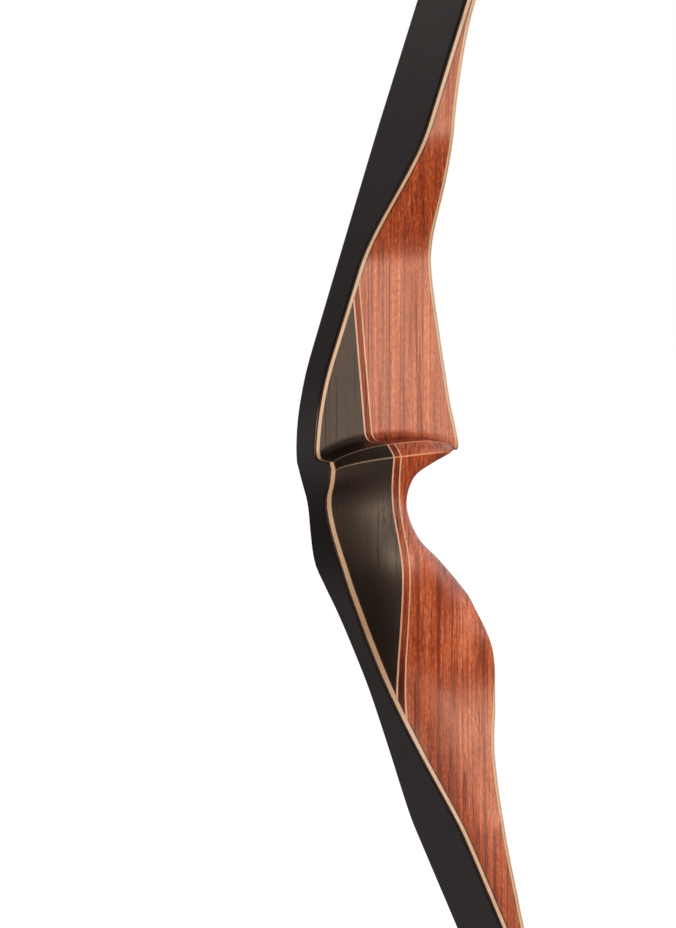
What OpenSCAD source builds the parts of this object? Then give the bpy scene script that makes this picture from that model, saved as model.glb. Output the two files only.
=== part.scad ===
// One-piece laminated recurve bow, right-handed, strung.
// +Z runs up the bow, +X points at the archer, and the arrow side is -Y.
// The origin is the throat of the grip, in the middle of the bow's width.

/* [Riser] */
// Height of the upper fadeout above the throat of the grip
riser_up = 262; // [250:1:275]
// Depth of the lower fadeout below the throat of the grip
riser_down = 268; // [258:1:285]
// Height of the middle of the bow above the throat of the grip
mid_z = 15.3; // [8:0.1:22]
// Distance from the throat to the wood's back face
grip_depth = 46.7; // [43:0.1:52]
// Radius of the back behind the grip
back_r = 152; // [120:1:200]
// Lean of the limbs where they leave the riser, in degrees
lean = 23.3; // [20:0.1:26]

/* [Grip] */
// Width of the grip at the throat
throat_w = 40; // [32:0.5:44]
// Width of the palm swell
palm_w = 48; // [38:0.5:52]
// Width of the riser at its narrowest, below the grip
neck_w = 23; // [20:0.5:30]
// Width of the flat back behind the throat
back_throat_w = 16; // [12:0.5:24]
// Width of the flat back behind the palm swell
back_palm_w = 22; // [16:0.5:28]
// Width of the flat back below the grip
back_neck_w = 15.6; // [12:0.2:20]
// Share of the arrow side's width that the other side of the grip has
off_side = 0.86; // [0.8:0.01:1]

/* [Shelf and sight window] */
// Height of the arrow shelf above the throat
shelf_z = 32.3; // [30:0.1:38]
// Reach of the shelf out from the sight window
shelf_w = 19.5; // [16:0.5:22]
// Reach of the shelf at the back of the bow
shelf_back_w = 12.5; // [10:0.5:16]
// Width that the bevel under the shelf adds
bevel_w = 5.1; // [3:0.1:6]
// Height of the bevel under the shelf
bevel_h = 6.4; // [4:0.1:8]
// Radius of the cove between the shelf and the window
cove_r = 5.2; // [4:0.1:8]
// Drop of the crowned shelf at its back end
drop_back = 7.6; // [4:0.1:8]
// Drop of the crowned shelf at its belly end
drop_belly = 8; // [4:0.1:8.5]
// Height at which the window starts to run out to the full width
window_top = 118; // [105:1:130]
// Height of the window's run-out
runout = 70; // [50:1:80]
// Thickness of the bow beside the window, from its middle plane
window_wall = 20; // [17:0.5:21]

/* [Laminations] */
// Thickness of the back glass
back_glass_t = 1.2; // [0.8:0.1:1.6]
// Thickness of the back core at the riser
back_core_t = 2.2; // [1.8:0.1:3]
// Thickness of the belly core at the riser
belly_core_t = 1.6; // [1.3:0.1:2.4]
// Thickness of the belly glass
belly_glass_t = 0.8; // [0.6:0.1:1.4]
// How much thinner each core is at the recurve
core_taper = 0.4; // [0.1:0.1:0.8]
// Thickness of each pale veneer in the riser
veneer_t = 0.9; // [0.6:0.1:1.5]
// Thickness of the red strip between the veneers
strip_t = 3.1; // [2:0.1:5]
// Depth of the inner veneer's belly face behind the throat
veneer_depth = 10.3; // [9:0.1:14]
// Lean of the veneers towards the back at the top, as a slope
veneer_slope = 0.05; // [0:0.01:0.07]

/* [Limbs and string] */
// Width of the limbs at the riser
limb_w = 43.5; // [40:0.5:46]
// Width of the limbs at the string nocks
nock_w = 15; // [13.5:0.1:18]
// Distance from the throat to the string
brace_h = 203; // [195:1:212]
// Length of the limb over which its lean grows
butt_len = 140; // [120:1:150]
// Greatest lean of the limb, in degrees
lean_max = 29; // [28:0.5:31]
// Radius of the bend that brings the limb parallel to the string
bend_r = 230; // [210:1:240]
// Radius of the recurve
recurve_r = 140; // [110:1:160]
// Angle that the recurve turns through, in degrees
recurve_turn = 38; // [30:1:42]
// Length of the straight limb tip
tip_len = 28; // [26:1:34]
// Distance from the string nock to the end of the limb
nock_end = 13; // [11:0.5:15]
// Depth of the string grooves in the limb's edges
nock_cut = 2.2; // [1.6:0.1:2.8]
// Length of the tip overlays
overlay_len = 48; // [40:1:60]
// Thickness of the dark tip overlays
overlay_t = 2.6; // [2:0.1:4]
// Thickness of the pale veneer under a tip overlay
tip_veneer_t = 0.8; // [0.5:0.1:1.2]
// Thickness of the bowstring
string_d = 3; // [2.4:0.1:3.4]
// Thickness of the servings' thread over the string
serving_t = 0.4; // [0.3:0.1:0.7]
// Length of the centre serving
serving_len = 200; // [150:1:240]
// Length of the served string below each loop
loop_serving_len = 62; // [50:1:72]
// Height of the nock set above the shelf
nocking_h = 9; // [6:0.5:14]

/* [Hidden] */

red_wood = [0.78, 0.47, 0.36];
dark_wood = [0.36, 0.29, 0.25];
maple = [0.87, 0.74, 0.62];
black_glass = [0.15, 0.14, 0.13];
clear_glass = [0.8, 0.67, 0.5];
string_colour = [0.2, 0.19, 0.18];
serving_colour = [0.1, 0.1, 0.1];
brass = [0.8, 0.64, 0.3];

near = -1;
far = 1;
fit = 0.1;

// Heights that the riser's shape turns on
widen_z = -162;
widen_run = 16;
widen_drop = 0.9;
off_drop = 0.5;
feather_z = -82;
round_z = -42;
neck_z = -92;
palm_z = -29;
crease_z = shelf_z - bevel_h;
shelf_run = 0.5;
cove_top = shelf_z + shelf_run + cove_r;
warp_from = 4;
warp_to = 62;
crown_x = -3;
feather_len = 28;
grip_belly_x = 37.8;
bevel_curve = 1.3;
bevel_back_w = 1.5;
flare_least = 12;

// The back of the bow: an arc behind the grip, then straight to the limbs
slope = tan(lean);
arc_z = back_r * sin(lean);
arc_x = back_r * (1 - cos(lean));
limb_z = 285;
eps = 0.001;

// Basic curves
function clamp(u) = max(0, min(1, u));
function ease(u) = let (v = clamp(u)) v * v * (3 - 2 * v);
function segment(s, p, i = 0) = i >= len(p) - 2 || s < p[i + 1][0] ? i : segment(s, p, i + 1);
function grade(p, i) = let (a = max(0, i - 1), b = min(len(p) - 1, i + 1))
    (p[b][1] - p[a][1]) / (p[b][0] - p[a][0]);
// A smooth curve through the points [position, value], flat past its ends
function through(s, p) =
    s <= p[0][0] ? p[0][1] : s >= p[len(p) - 1][0] ? p[len(p) - 1][1] :
    let (i = segment(s, p), h = p[i + 1][0] - p[i][0], u = (s - p[i][0]) / h)
    (2 * u * u * u - 3 * u * u + 1) * p[i][1] + (u * u * u - 2 * u * u + u) * h * grade(p, i)
    + (3 * u * u - 2 * u * u * u) * p[i + 1][1] + (u * u * u - u * u) * h * grade(p, i + 1);
function sorted(v) = len(v) <= 1 ? v : let (m = v[floor(len(v) / 2)])
    concat(sorted([for (x = v) if (x < m) x]), [m], sorted([for (x = v) if (x > m) x]));

// The back line, where the back glass meets the wood
function back_x(z) = let (d = abs(z - mid_z))
    d < arc_z ? -grip_depth + back_r - sqrt(back_r * back_r - d * d)
              : -grip_depth + arc_x + (d - arc_z) * slope;
function back_lean(z) = let (d = abs(z - mid_z)) d < arc_z ? asin(d / back_r) : lean;

// The shelf is crowned, so that the heights near it follow the crown
function crown(x) = x < crown_x ? -drop_back * pow((crown_x - x) / (grip_depth + crown_x), 3)
                                : -drop_belly * pow((x - crown_x) / (grip_belly_x - crown_x), 2.2);
function lift(s, x) = crown(x) * lookup(s, [[warp_from, 0], [crease_z, x < crown_x ? 0.6 : 0.33],
                                            [shelf_z, 1], [cove_top, 0.9], [warp_to, 0]]);
function at(x, s) = [x, s + lift(s, x)];

// Points of the back line and of the back core's inner face at a station
function back_z(s) = s + lift(s, back_x(s));
function core_x(s) = let (z = back_z(s)) back_x(z) + back_core_t / cos(back_lean(z));
function core_pt(s) = [core_x(s), back_z(s)];
function glass_pt(s) = [back_x(back_z(s)), back_z(s)];
function glass_out_pt(s) = let (z = back_z(s)) [back_x(z) - back_glass_t / cos(back_lean(z)), z];

// The glued planes of the veneers, from the back to the belly
plane_1 = -veneer_depth - 2 * veneer_t - strip_t;
plane_2 = plane_1 + veneer_t;
plane_3 = plane_2 + strip_t;
plane_4 = plane_3 + veneer_t;
function plane_pt(p, s) = let (z = s + lift(s, p - veneer_slope * s)) [p - veneer_slope * z, z];
// Heights at which a plane meets the back core
core_0 = -grip_depth + arc_x - arc_z * slope + back_core_t / cos(lean);
function meet_up(p) = (p - core_0 + mid_z * slope) / (slope + veneer_slope);
function meet_down(p) = -(p - core_0 - mid_z * slope) / (slope - veneer_slope);

// Stations up the riser
keys = concat([-riser_down, feather_z, crease_z, crease_z + bevel_h / 2, shelf_z, cove_top, riser_up],
              [for (a = [0:30:60]) shelf_z + shelf_run + cove_r * (1 - cos(a))],
              [for (p = [plane_1, plane_2, plane_3, plane_4], m = [meet_up(p), meet_down(p)]) m]);
coarse = concat([for (s = [-riser_down:9:-100]) s], [for (s = [-96:6:-50]) s], [for (s = [-46:4.5:8]) s],
                [for (s = [9:3:crease_z]) s], [for (s = [cove_top + 3:5:65]) s],
                [for (s = [68:8:riser_up]) s]);
stations = sorted(concat(keys, [for (s = coarse) if (min([for (k = keys) abs(s - k)]) > 1) s]));
function between(a, b) = [for (s = stations) if (s > a - eps && s < b + eps) s];

// Belly of the wood block, from the lower fadeout to the upper one
feather_t = 0.1;
belly_line = [[-riser_down, core_x(-riser_down) + feather_t], [-235, 54.4], [-205, 48.2], [-165, 41.5],
              [-130, 42.1], [-104, 46.1], [-88, 47.6], [-76, 46.1], [-66, 44.2], [-57, 42.3], [-48, 38.4],
              [-28, 19.6], [-20, 10.1], [-12, 3.9], [-2, 0], [5, 0.8], [11, 4.5], [15.8, 10.5], [20.5, 22.8],
              [crease_z - 0.5, 34.4], [shelf_z, grip_belly_x], [52, 33], [84, 28.4], [116, 25.1],
              [150, 26.3], [180, 26.8], [205, 30.7], [235, 38.3], [riser_up, core_x(riser_up) + feather_t]];
function belly_x(s) = through(s, belly_line);
function belly_lean(s) = atan((belly_x(s + 1) - belly_x(s - 1)) / 2);

// Half widths of the riser's body at its fullest and at its back
body_line = [[widen_z - widen_run, limb_w / 2], [widen_z, limb_w / 2 - widen_drop], [-124, 13.5],
             [-99, neck_w / 2], [feather_z, 12.9], [-58, 18.8],
             [palm_z, palm_w / 2], [0, throat_w / 2], [12, throat_w / 2 + 1], [crease_z, shelf_w + bevel_w]];
body_back_line = [[widen_z - widen_run, limb_w / 2], [widen_z, limb_w / 2 - widen_drop], [-122, 12],
                  [neck_z, back_neck_w / 2], [-68, back_neck_w / 2],
                  [palm_z, back_palm_w / 2], [0, back_throat_w / 2], [9, back_throat_w / 2 + 1],
                  [18, shelf_back_w], [crease_z, shelf_back_w + bevel_back_w]];
off_line = [[widen_z - widen_run, limb_w / 2], [widen_z, limb_w / 2 - off_drop], [-122, 14.6],
            [neck_z, neck_w / 2 * off_side], [-58, 19 * off_side],
            [palm_z, palm_w / 2 * off_side], [0, throat_w / 2 * off_side], [shelf_z, window_wall - 0.5],
            [window_top, window_wall + 0.5], [window_top + runout, limb_w / 2]];
off_back_line = [[widen_z - widen_run, limb_w / 2], [widen_z, limb_w / 2 - off_drop], [-122, 13.8],
                 [neck_z, back_neck_w / 2 + 1.2], [-68, back_neck_w / 2],
                 [-50, 8.1], [-38, 9.8], [-27, back_palm_w / 2 + 1], [-12, 9.6], [0, back_throat_w / 2],
                 [9, back_throat_w / 2 + 1],
                 [shelf_z, window_wall - 4.5], [60, window_wall - 2], [window_top, window_wall],
                 [window_top + runout, limb_w / 2]];
function bevel(s) = clamp((s - crease_z) / bevel_h);
function body_w(s) = through(s, body_line) - bevel_w * pow(bevel(s), bevel_curve);
function body_back_w(s) = through(s, body_back_line) - bevel_back_w * bevel(s);
function window_w(s) = limb_w / 2 * ease((s - window_top) / runout);
// Share of the window's cut that is made at a station, 0 at the shelf and 1 above the cove
function cut(s) = s <= shelf_z ? 0 : s >= cove_top - eps ? 1 :
    s < shelf_z + shelf_run ? (1 - cove_r / shelf_w) * (s - shelf_z) / shelf_run :
    let (a = acos(clamp(1 - (s - shelf_z - shelf_run) / cove_r))) 1 - cove_r * (1 - sin(a)) / shelf_w;

// Half width at depth x, with the narrower back flaring into the body
function flare(x, s) = let (l = max(flare_least, plane_4 - veneer_slope * s - back_x(s)))
    sin(90 * clamp((x - back_x(s)) / l));
function body_side(x, s) = body_back_w(s) + (body_w(s) - body_back_w(s)) * flare(x, s);
function near_y(x, s) = -(1 - cut(s)) * body_side(x, s) - cut(s) * window_w(s);
function far_y(x, s) = let (b = through(s, off_back_line)) b + (through(s, off_line) - b) * flare(x, s);

// How square the section is: 0 is round, as in the grip, and 1 is a flat belly
function square_below(s) = ease((round_z - s) / (round_z - feather_z));
function near_square(s) = s < 0 ? square_below(s) : cut(s);
function far_square(s) = s < 0 ? square_below(s) : ease((s - 6) / (shelf_z - 6));
// The middle of the belly, which moves over beside the window
function crest_y(s) = through(s, [[6, 0], [shelf_z, 8], [window_top, window_wall / 2],
                                  [window_top + runout, 0]]);
corner = 60;
sweep_angles = [0:10:90];

function round_pt(a, x0, x1, y0, c) = [x0 + (x1 - x0) * sin(a), c + (y0 - c) * cos(a)];

function main_half(s, side) =
    let (start = main_start(s), x0 = start[0], x1 = belly_x(s), c = crest_y(s),
         k = side == near ? near_square(s) : far_square(s),
         y0 = side == far ? far_y(x0, s) : s < shelf_z ? near_y(x0, s) : -body_side(x0, s))
    [for (a = sweep_angles)
        let (r = round_pt(a, x0, x1, y0, c),
             qx = x0 + (x1 - x0) * min(1, a / corner),
             side_y = side == far ? far_y(qx, s) : s < shelf_z ? near_y(qx, s) : -window_w(s),
             qy = side_y + (c - side_y) * max(0, (a - corner) / (90 - corner)),
             x = r[0] * (1 - k) + qx * k, y = r[1] * (1 - k) + qy * k)
        a == 0 ? [x0, y, start[1]] : [x, y, s + lift(s, x)]];
function main_start(s) = s > meet_up(plane_4) || s < meet_down(plane_4) ? core_pt(s) : plane_pt(plane_4, s);
function main_ring(s) = let (n = main_half(s, near), f = main_half(s, far))
    concat(n, [for (i = [len(f) - 2:-1:0]) f[i]]);

// A ring between two boundary points of one station, with n steps between them
function layer_ring(a, b, s, n) =
    let (pts = [for (i = [0:n]) let (x = a[0] + (b[0] - a[0]) * i / n)
                i == 0 ? a : i == n ? b : at(x, s)])
    concat([for (p = pts) [p[0], near_y(p[0], s), p[1]]],
           [for (i = [n:-1:0]) [pts[i][0], far_y(pts[i][0], s), pts[i][1]]]);

// The solid through a list of rings that have the same number of points
function middle(ring) = [for (p = ring) 1] * ring / len(ring);
module loft(rings) {
    m = len(rings[0]);
    last = len(rings) - 1;
    pts = concat([for (r = rings, p = r) p], [middle(rings[0]), middle(rings[last])]);
    centre = m * len(rings);
    sides = [for (k = [0:last - 1], i = [0:m - 1])
                let (j = (i + 1) % m, a = k * m + i, b = k * m + j, c = a + m, d = b + m)
                each [[a, b, d], [a, d, c]]];
    low = [for (i = [0:m - 1]) [centre, (i + 1) % m, i]];
    high = [for (i = [0:m - 1]) [centre + 1, last * m + i, last * m + (i + 1) % m]];
    solid_faces = [for (f = concat(sides, low, high))
                      if (norm(cross(pts[f[1]] - pts[f[0]], pts[f[2]] - pts[f[0]])) > 1e-7) f];
    polyhedron(pts, [for (f = solid_faces) [f[0], f[2], f[1]]], convexity = 10);
}

// The limb past the riser, as a path that grows by arcs and straights
butt_r = butt_len / (lean_max - lean) * 180 / PI;
limb_x = back_x(mid_z + limb_z);
stack_t = back_core_t + belly_core_t - 2 * core_taper + belly_glass_t;
string_clear = string_d / 2 + serving_t + fit;
contact_x = brace_h - string_clear - stack_t;
mid_len = (contact_x - limb_x - butt_r * (cos(lean) - cos(lean_max)) - bend_r * (1 - cos(lean_max)))
          / sin(lean_max);
bend_len = bend_r * lean_max * PI / 180;
recurve_len = recurve_r * recurve_turn * PI / 180;
contact_t = butt_len + mid_len + bend_len;
limb_len = contact_t + recurve_len + tip_len;
nock_t = limb_len - nock_end;
turn_len = 60;
// A step along the path from [x, z, angle], by an arc of radius r or straight where r is 0
function step(p, l, r) = let (b = r == 0 ? p[2] : p[2] + l / r * 180 / PI)
    r == 0 ? [p[0] + l * sin(p[2]), p[1] + l * cos(p[2]), b]
           : [p[0] + r * (cos(p[2]) - cos(b)), p[1] + r * (sin(b) - sin(p[2])), b];
legs = [[butt_len, butt_r], [mid_len, 0], [bend_len, -bend_r], [recurve_len, -recurve_r], [tip_len, 0]];
function walk(t, p = [limb_x, limb_z, lean], i = 0) =
    i >= len(legs) - 1 || t <= legs[i][0] ? step(p, t, legs[i][1])
    : walk(t - legs[i][0], step(p, legs[i][0], legs[i][1]), i + 1);
// A point at path length t and depth d from the back line, with its height from mid_z
function limb_pt(t, d) = let (p = walk(t), b = p[2] * ease(t / turn_len), k = d / cos(p[2] - b))
    [p[0] + k * cos(b), p[1] - k * sin(b)];
function taper(t) = core_taper * clamp(t / contact_t);
groove_half = 3.4;
past_groove = nock_end - groove_half;
round_len = 6;
end_share = 0.91;
function groove(t) = nock_cut * max(0, 1 - pow((t - nock_t) / groove_half, 2));
function tip_round(t) = sqrt(1 - pow(end_share * clamp((t - limb_len + round_len) / round_len), 2));
function limb_half(t) =
    ((limb_w - nock_w) / 2 * (1 - pow(clamp(t / nock_t), 1.5)) + nock_w / 2 - groove(t)) * tip_round(t);
overlay_from = limb_len - overlay_len;
near_nock = nock_t - 20;
limb_stations = concat([for (i = [1:22]) overlay_from * i / 22],
                       [for (i = [1:2]) overlay_from + (near_nock - overlay_from) * i / 3],
                       [for (t = [near_nock:4:nock_t - 5]) t],
                       [for (i = [-2:2]) nock_t + groove_half * i / 2],
                       [for (i = [0.2, 0.45, 0.65, 0.85, 1]) nock_t + groove_half + past_groove * i]);
function limb_ring(t, a, b, up) = let (p = limb_pt(t, a), q = limb_pt(t, b), w = limb_half(t))
    [for (c = [[p, -w], [q, -w], [q, w], [p, w]]) [c[0][0], c[1], mid_z + up * c[0][1]]];

// Depths of the laminations below the back line
function core_d(t) = back_core_t - taper(t);
function belly_core_d(t) = core_d(t) + belly_core_t - taper(t);

function tip_to_tip(riser_rings, lower, upper) =
    concat([for (i = [len(lower) - 1:-1:0]) lower[i]], riser_rings, upper);
riser_reach = concat([-limb_z + mid_z, (-limb_z + mid_z - riser_down) / 2], stations,
                     [(limb_z + mid_z + riser_up) / 2, limb_z + mid_z]);

module riser_main_block() color(red_wood)
    loft([for (s = stations) main_ring(s)]);
// The back of a layer lies on plane p, or on the back core where that comes first
function layer_start(p, s) = p == undef || s > meet_up(p) - eps || s < meet_down(p) + eps
    ? core_pt(s) : plane_pt(p, s);
module riser_layer(p, q, steps, low, high)
    loft([for (s = between(low, high)) layer_ring(layer_start(p, s), plane_pt(q, s), s, steps)]);
module riser_inner_veneer() color(maple)
    riser_layer(plane_3, plane_4, 1, meet_down(plane_4), meet_up(plane_4));
module riser_centre_strip() color(red_wood)
    riser_layer(plane_2, plane_3, 2, meet_down(plane_3), meet_up(plane_3));
module riser_outer_veneer() color(maple)
    riser_layer(plane_1, plane_2, 1, meet_down(plane_2), meet_up(plane_2));
module riser_back_block() color(dark_wood)
    riser_layer(undef, plane_1, 6, meet_down(plane_1), meet_up(plane_1));

module back_glass() color(black_glass)
    loft(tip_to_tip([for (s = riser_reach) layer_ring(glass_out_pt(s), glass_pt(s), s, 1)],
                    [for (t = limb_stations) limb_ring(t, -back_glass_t, 0, -1)],
                    [for (t = limb_stations) limb_ring(t, -back_glass_t, 0, 1)]));
module back_core() color(maple)
    loft(tip_to_tip([for (s = riser_reach) layer_ring(glass_pt(s), core_pt(s), s, 1)],
                    [for (t = limb_stations) limb_ring(t, 0, core_d(t), -1)],
                    [for (t = limb_stations) limb_ring(t, 0, core_d(t), 1)]));

// A belly lamination between depths a and b over the wood, feathered out at the lower end
function past(s) = s > riser_up + eps || s < -riser_down - eps;
function lam_share(s) = s > 0 ? 1 : clamp((feather_z - s) / feather_len);
function lam_x(s, d) = past(s) ? core_x(s) + d / cos(lean)
                                : belly_x(s) + d * lam_share(s) / cos(belly_lean(s));
function lam_near(s) = s < 0 || s >= cove_top ? near_y(lam_x(s, 0), s) : crest_y(s) * (1 - cut(s));
function lam_ring(s, a, b) =
    let (p = at(lam_x(s, a), s), q = at(lam_x(s, b), s), n = lam_near(s), f = far_y(lam_x(s, 0), s))
    [[p[0], n, p[1]], [q[0], n, q[1]], [q[0], f, q[1]], [p[0], f, p[1]]];
upper_reach = [for (s = riser_reach) if (s > shelf_z - eps) s];
lower_reach = [for (s = riser_reach) if (s < feather_z + eps) s];
module belly_layer(a, b, first, second, up) {
    riser = [for (s = up > 0 ? upper_reach : lower_reach) lam_ring(s, a, b)];
    limb = [for (t = limb_stations) limb_ring(t, first == 0 ? core_d(t) : belly_core_d(t),
            belly_core_d(t) + second, up)];
    loft(up > 0 ? concat(riser, limb) : tip_to_tip(riser, limb, []));
}
module upper_belly_core() color(maple) belly_layer(0, belly_core_t, 0, 0, 1);
module lower_belly_core() color(maple) belly_layer(0, belly_core_t, 0, 0, -1);
module upper_belly_glass() color(clear_glass)
    belly_layer(belly_core_t, belly_core_t + belly_glass_t, 1, belly_glass_t, 1);
module lower_belly_glass() color(clear_glass)
    belly_layer(belly_core_t, belly_core_t + belly_glass_t, 1, belly_glass_t, -1);

// The overlays on the back of the limb tips, feathered towards the riser
overlay_feather = 20;
function overlay_share(t) = clamp((t - overlay_from) / overlay_feather);
overlay_stations = [for (t = limb_stations) if (t > overlay_from - eps) t];
module tip_layer(a, b, up) {
    rings = [for (t = overlay_stations) let (k = overlay_share(t))
             limb_ring(t, -back_glass_t - b * k, -back_glass_t - a * k, up)];
    loft(up > 0 ? rings : [for (i = [len(rings) - 1:-1:0]) rings[i]]);
}
module upper_tip_veneer() color(maple) tip_layer(0, tip_veneer_t, 1);
module lower_tip_veneer() color(maple) tip_layer(0, tip_veneer_t, -1);
module upper_tip_overlay() color(dark_wood) tip_layer(tip_veneer_t, tip_veneer_t + overlay_t, 1);
module lower_tip_overlay() color(dark_wood) tip_layer(tip_veneer_t, tip_veneer_t + overlay_t, -1);

// The string: straight between the limbs, then lying on the belly of each recurve
string_r = string_d / 2;
serving_r = string_r + serving_t;
string_sides = 12;
loop_r = 1.2;
loop_len = 30;
neck_tail = 1.5;
throat_t = nock_t - loop_len;
served_t = max(contact_t + 2, throat_t - loop_serving_len);
function on_belly(t, clear) = limb_pt(t, stack_t + clear);
// Rings of n points round a path of [x, y, z] points, square to the path
function tangent(p, i) = let (d = p[min(i + 1, len(p) - 1)] - p[max(i - 1, 0)]) d / norm(d);
function tube_ring(p, i, r, n) =
    let (d = tangent(p, i), u = cross(d, cross([1, 0, 0.2], d)), e = u / norm(u), f = cross(d, e))
    [for (k = [0:n - 1]) p[i] + r * (e * cos(360 * k / n) + f * sin(360 * k / n))];
module tube(p, r, n) part_tube(p, 0, len(p) - 1, r, n);
function place(q, y, up) = [q[0], y, mid_z + up * q[1]];
// Path lengths along the recurve: bare string, then the served neck, then the neck's solid end
bare_steps = 3;
neck_steps = 12;
lying = concat([for (i = [0:bare_steps - 1]) contact_t + (served_t - contact_t) * i / bare_steps],
               [for (i = [0:neck_steps]) served_t + (throat_t - served_t) * i / neck_steps],
               [throat_t + neck_tail]);
string_end = bare_steps + neck_steps;
function lying_path(up) = [for (t = lying) place(on_belly(t, string_clear), 0, up)];
module part_tube(p, first, last, r, n)
    loft([for (i = [first:last]) tube_ring(p, i, r, n)]);
module bowstring() color(string_colour) {
    lower = lying_path(-1);
    path = concat([for (i = [len(lower) - 1:-1:0]) lower[i]], lying_path(1));
    part_tube(path, 1, len(path) - 2, string_r, string_sides);
}

// Half of a loop, round one edge of the tip: [distance past the nock, y, height over the belly]
function tip_d(t) = -back_glass_t - (tip_veneer_t + overlay_t) * overlay_share(t);
tip_t = stack_t - tip_d(nock_t);
edge = nock_w / 2 - nock_cut;
loop_half = [[-loop_len + 0.5, 0, string_clear], [-22, 1.6, string_clear], [-13, edge - 1.6, string_clear],
             [-6.5, edge + 0.6, loop_r + 0.25], [-3, edge + 1.9, loop_r + 0.2], [-1.1, edge + 2.1, -0.1],
             [-0.3, edge + 1.6, -2.2], [0, edge + 1.45, 1.6 - tip_t], [0.1, edge + 1.1, -tip_t - 0.9],
             [0.2, edge - 1.6, -tip_t - 1.4], [0.2, 0, -tip_t - 1.4]];
smooth_half = [for (j = [0:1:(len(loop_half) - 1) * 3])
    [for (c = [0:2]) through(j / 3, [for (i = [0:len(loop_half) - 1]) [i, loop_half[i][c]]])]];
module loop_serving(up) color(serving_colour) {
    path = lying_path(up);
    difference() {
        part_tube(path, bare_steps, string_end + 1, serving_r, string_sides);
        part_tube(path, bare_steps - 1, string_end, string_r + eps, string_sides);
    }
    for (side = [near, far])
        tube([for (h = smooth_half) place(on_belly(nock_t + h[0], h[2]), side * h[1], up)], loop_r, 8);
}
module upper_loop_serving() loop_serving(1);
module lower_loop_serving() loop_serving(-1);

nocking_z = shelf_z + nocking_h;
serving_drop = 20;
set_len = 5;
set_wall = 1.3;
set_up = 3;
module sleeve(z, l, r, bore) translate([brace_h, 0, z]) difference() {
    cylinder(h = l, r = r, center = true, $fn = 48);
    cylinder(h = l + 2, r = bore, center = true, $fn = 48);
}
module centre_serving() color(serving_colour)
    sleeve(nocking_z - serving_drop, serving_len, serving_r, string_r + eps);
module nock_set() color(brass)
    sleeve(nocking_z + set_up, set_len, serving_r + set_wall, serving_r);

riser_main_block();
riser_inner_veneer();
riser_centre_strip();
riser_outer_veneer();
riser_back_block();
back_glass();
back_core();
upper_belly_core();
lower_belly_core();
upper_belly_glass();
lower_belly_glass();
upper_tip_veneer();
lower_tip_veneer();
upper_tip_overlay();
lower_tip_overlay();
bowstring();
upper_loop_serving();
lower_loop_serving();
centre_serving();
nock_set();
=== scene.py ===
from bisect import bisect_right
from math import acos, asin, atan, cos, dist, pi, radians, sin, sqrt, tan

import bpy
import numpy as np
from mathutils import Matrix, Vector


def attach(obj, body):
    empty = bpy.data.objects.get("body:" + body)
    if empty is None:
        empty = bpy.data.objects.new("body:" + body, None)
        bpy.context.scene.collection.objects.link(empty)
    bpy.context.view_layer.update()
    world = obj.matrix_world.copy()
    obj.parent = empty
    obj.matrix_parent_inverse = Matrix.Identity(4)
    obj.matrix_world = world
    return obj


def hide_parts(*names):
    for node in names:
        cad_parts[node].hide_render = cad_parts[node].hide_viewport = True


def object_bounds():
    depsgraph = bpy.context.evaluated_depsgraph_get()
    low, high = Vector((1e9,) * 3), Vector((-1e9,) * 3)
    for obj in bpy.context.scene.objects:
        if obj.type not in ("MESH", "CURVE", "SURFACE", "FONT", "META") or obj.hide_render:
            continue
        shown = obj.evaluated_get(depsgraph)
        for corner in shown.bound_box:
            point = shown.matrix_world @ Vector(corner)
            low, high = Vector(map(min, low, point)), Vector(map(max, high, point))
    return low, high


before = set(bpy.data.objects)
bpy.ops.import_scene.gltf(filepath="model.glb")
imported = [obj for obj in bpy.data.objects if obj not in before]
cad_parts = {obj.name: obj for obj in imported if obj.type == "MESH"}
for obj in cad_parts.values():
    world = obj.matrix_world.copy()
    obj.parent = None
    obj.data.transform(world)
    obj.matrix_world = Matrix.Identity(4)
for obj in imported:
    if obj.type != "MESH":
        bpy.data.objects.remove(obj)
cad_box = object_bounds()
scene = bpy.context.scene
MM = 0.001

# the bow's sizes, in millimetres
RISER_UP, RISER_DOWN, MID_Z = 262.0, 268.0, 15.3
GRIP_DEPTH, BACK_R, LEAN = 46.7, 152.0, radians(23.3)
THROAT_W, PALM_W, NECK_W = 40.0, 48.0, 23.0
BACK_THROAT_W, BACK_PALM_W, BACK_NECK_W, OFF_SIDE = 16.0, 22.0, 15.6, 0.86
SHELF_Z, SHELF_W, SHELF_BACK_W = 32.3, 19.5, 12.5
BEVEL_W, BEVEL_H, BEVEL_CURVE, BEVEL_BACK_W = 5.1, 6.4, 1.3, 1.5
COVE_R, DROP_BACK, DROP_BELLY = 5.2, 7.6, 8.0
WINDOW_TOP, RUNOUT, WINDOW_WALL = 118.0, 70.0, 20.0
BACK_GLASS, BACK_CORE, BELLY_CORE, BELLY_GLASS, CORE_TAPER = 1.2, 2.2, 1.6, 0.8, 0.4
VENEER, STRIP, VENEER_DEPTH, VENEER_SLOPE = 0.9, 3.1, 10.3, 0.05
LIMB_W, NOCK_W, BRACE = 43.5, 15.0, 203.0
BUTT, LEAN_MAX, BEND_R = 140.0, radians(29), 230.0
RECURVE_R, RECURVE_TURN, TIP = 140.0, radians(38), 28.0
NOCK_END, NOCK_CUT, OVERLAY_LEN, OVERLAY, TIP_VENEER = 13.0, 2.2, 48.0, 2.6, 0.8
STRING_R, SERVING, SERVING_LEN, LOOP_SERVING = 1.5, 0.4, 200.0, 62.0
NOCKING_Z = SHELF_Z + 9.0
WIDEN_Z, FEATHER_Z, ROUND_Z, NECK_Z, PALM_Z = -162.0, -82.0, -42.0, -92.0, -29.0
WIDEN_RUN, WIDEN_DROP, OFF_DROP = 16.0, 0.9, 0.5
CREASE_Z, SHELF_RUN = SHELF_Z - BEVEL_H, 0.5
COVE_TOP = SHELF_Z + SHELF_RUN + COVE_R
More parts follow.
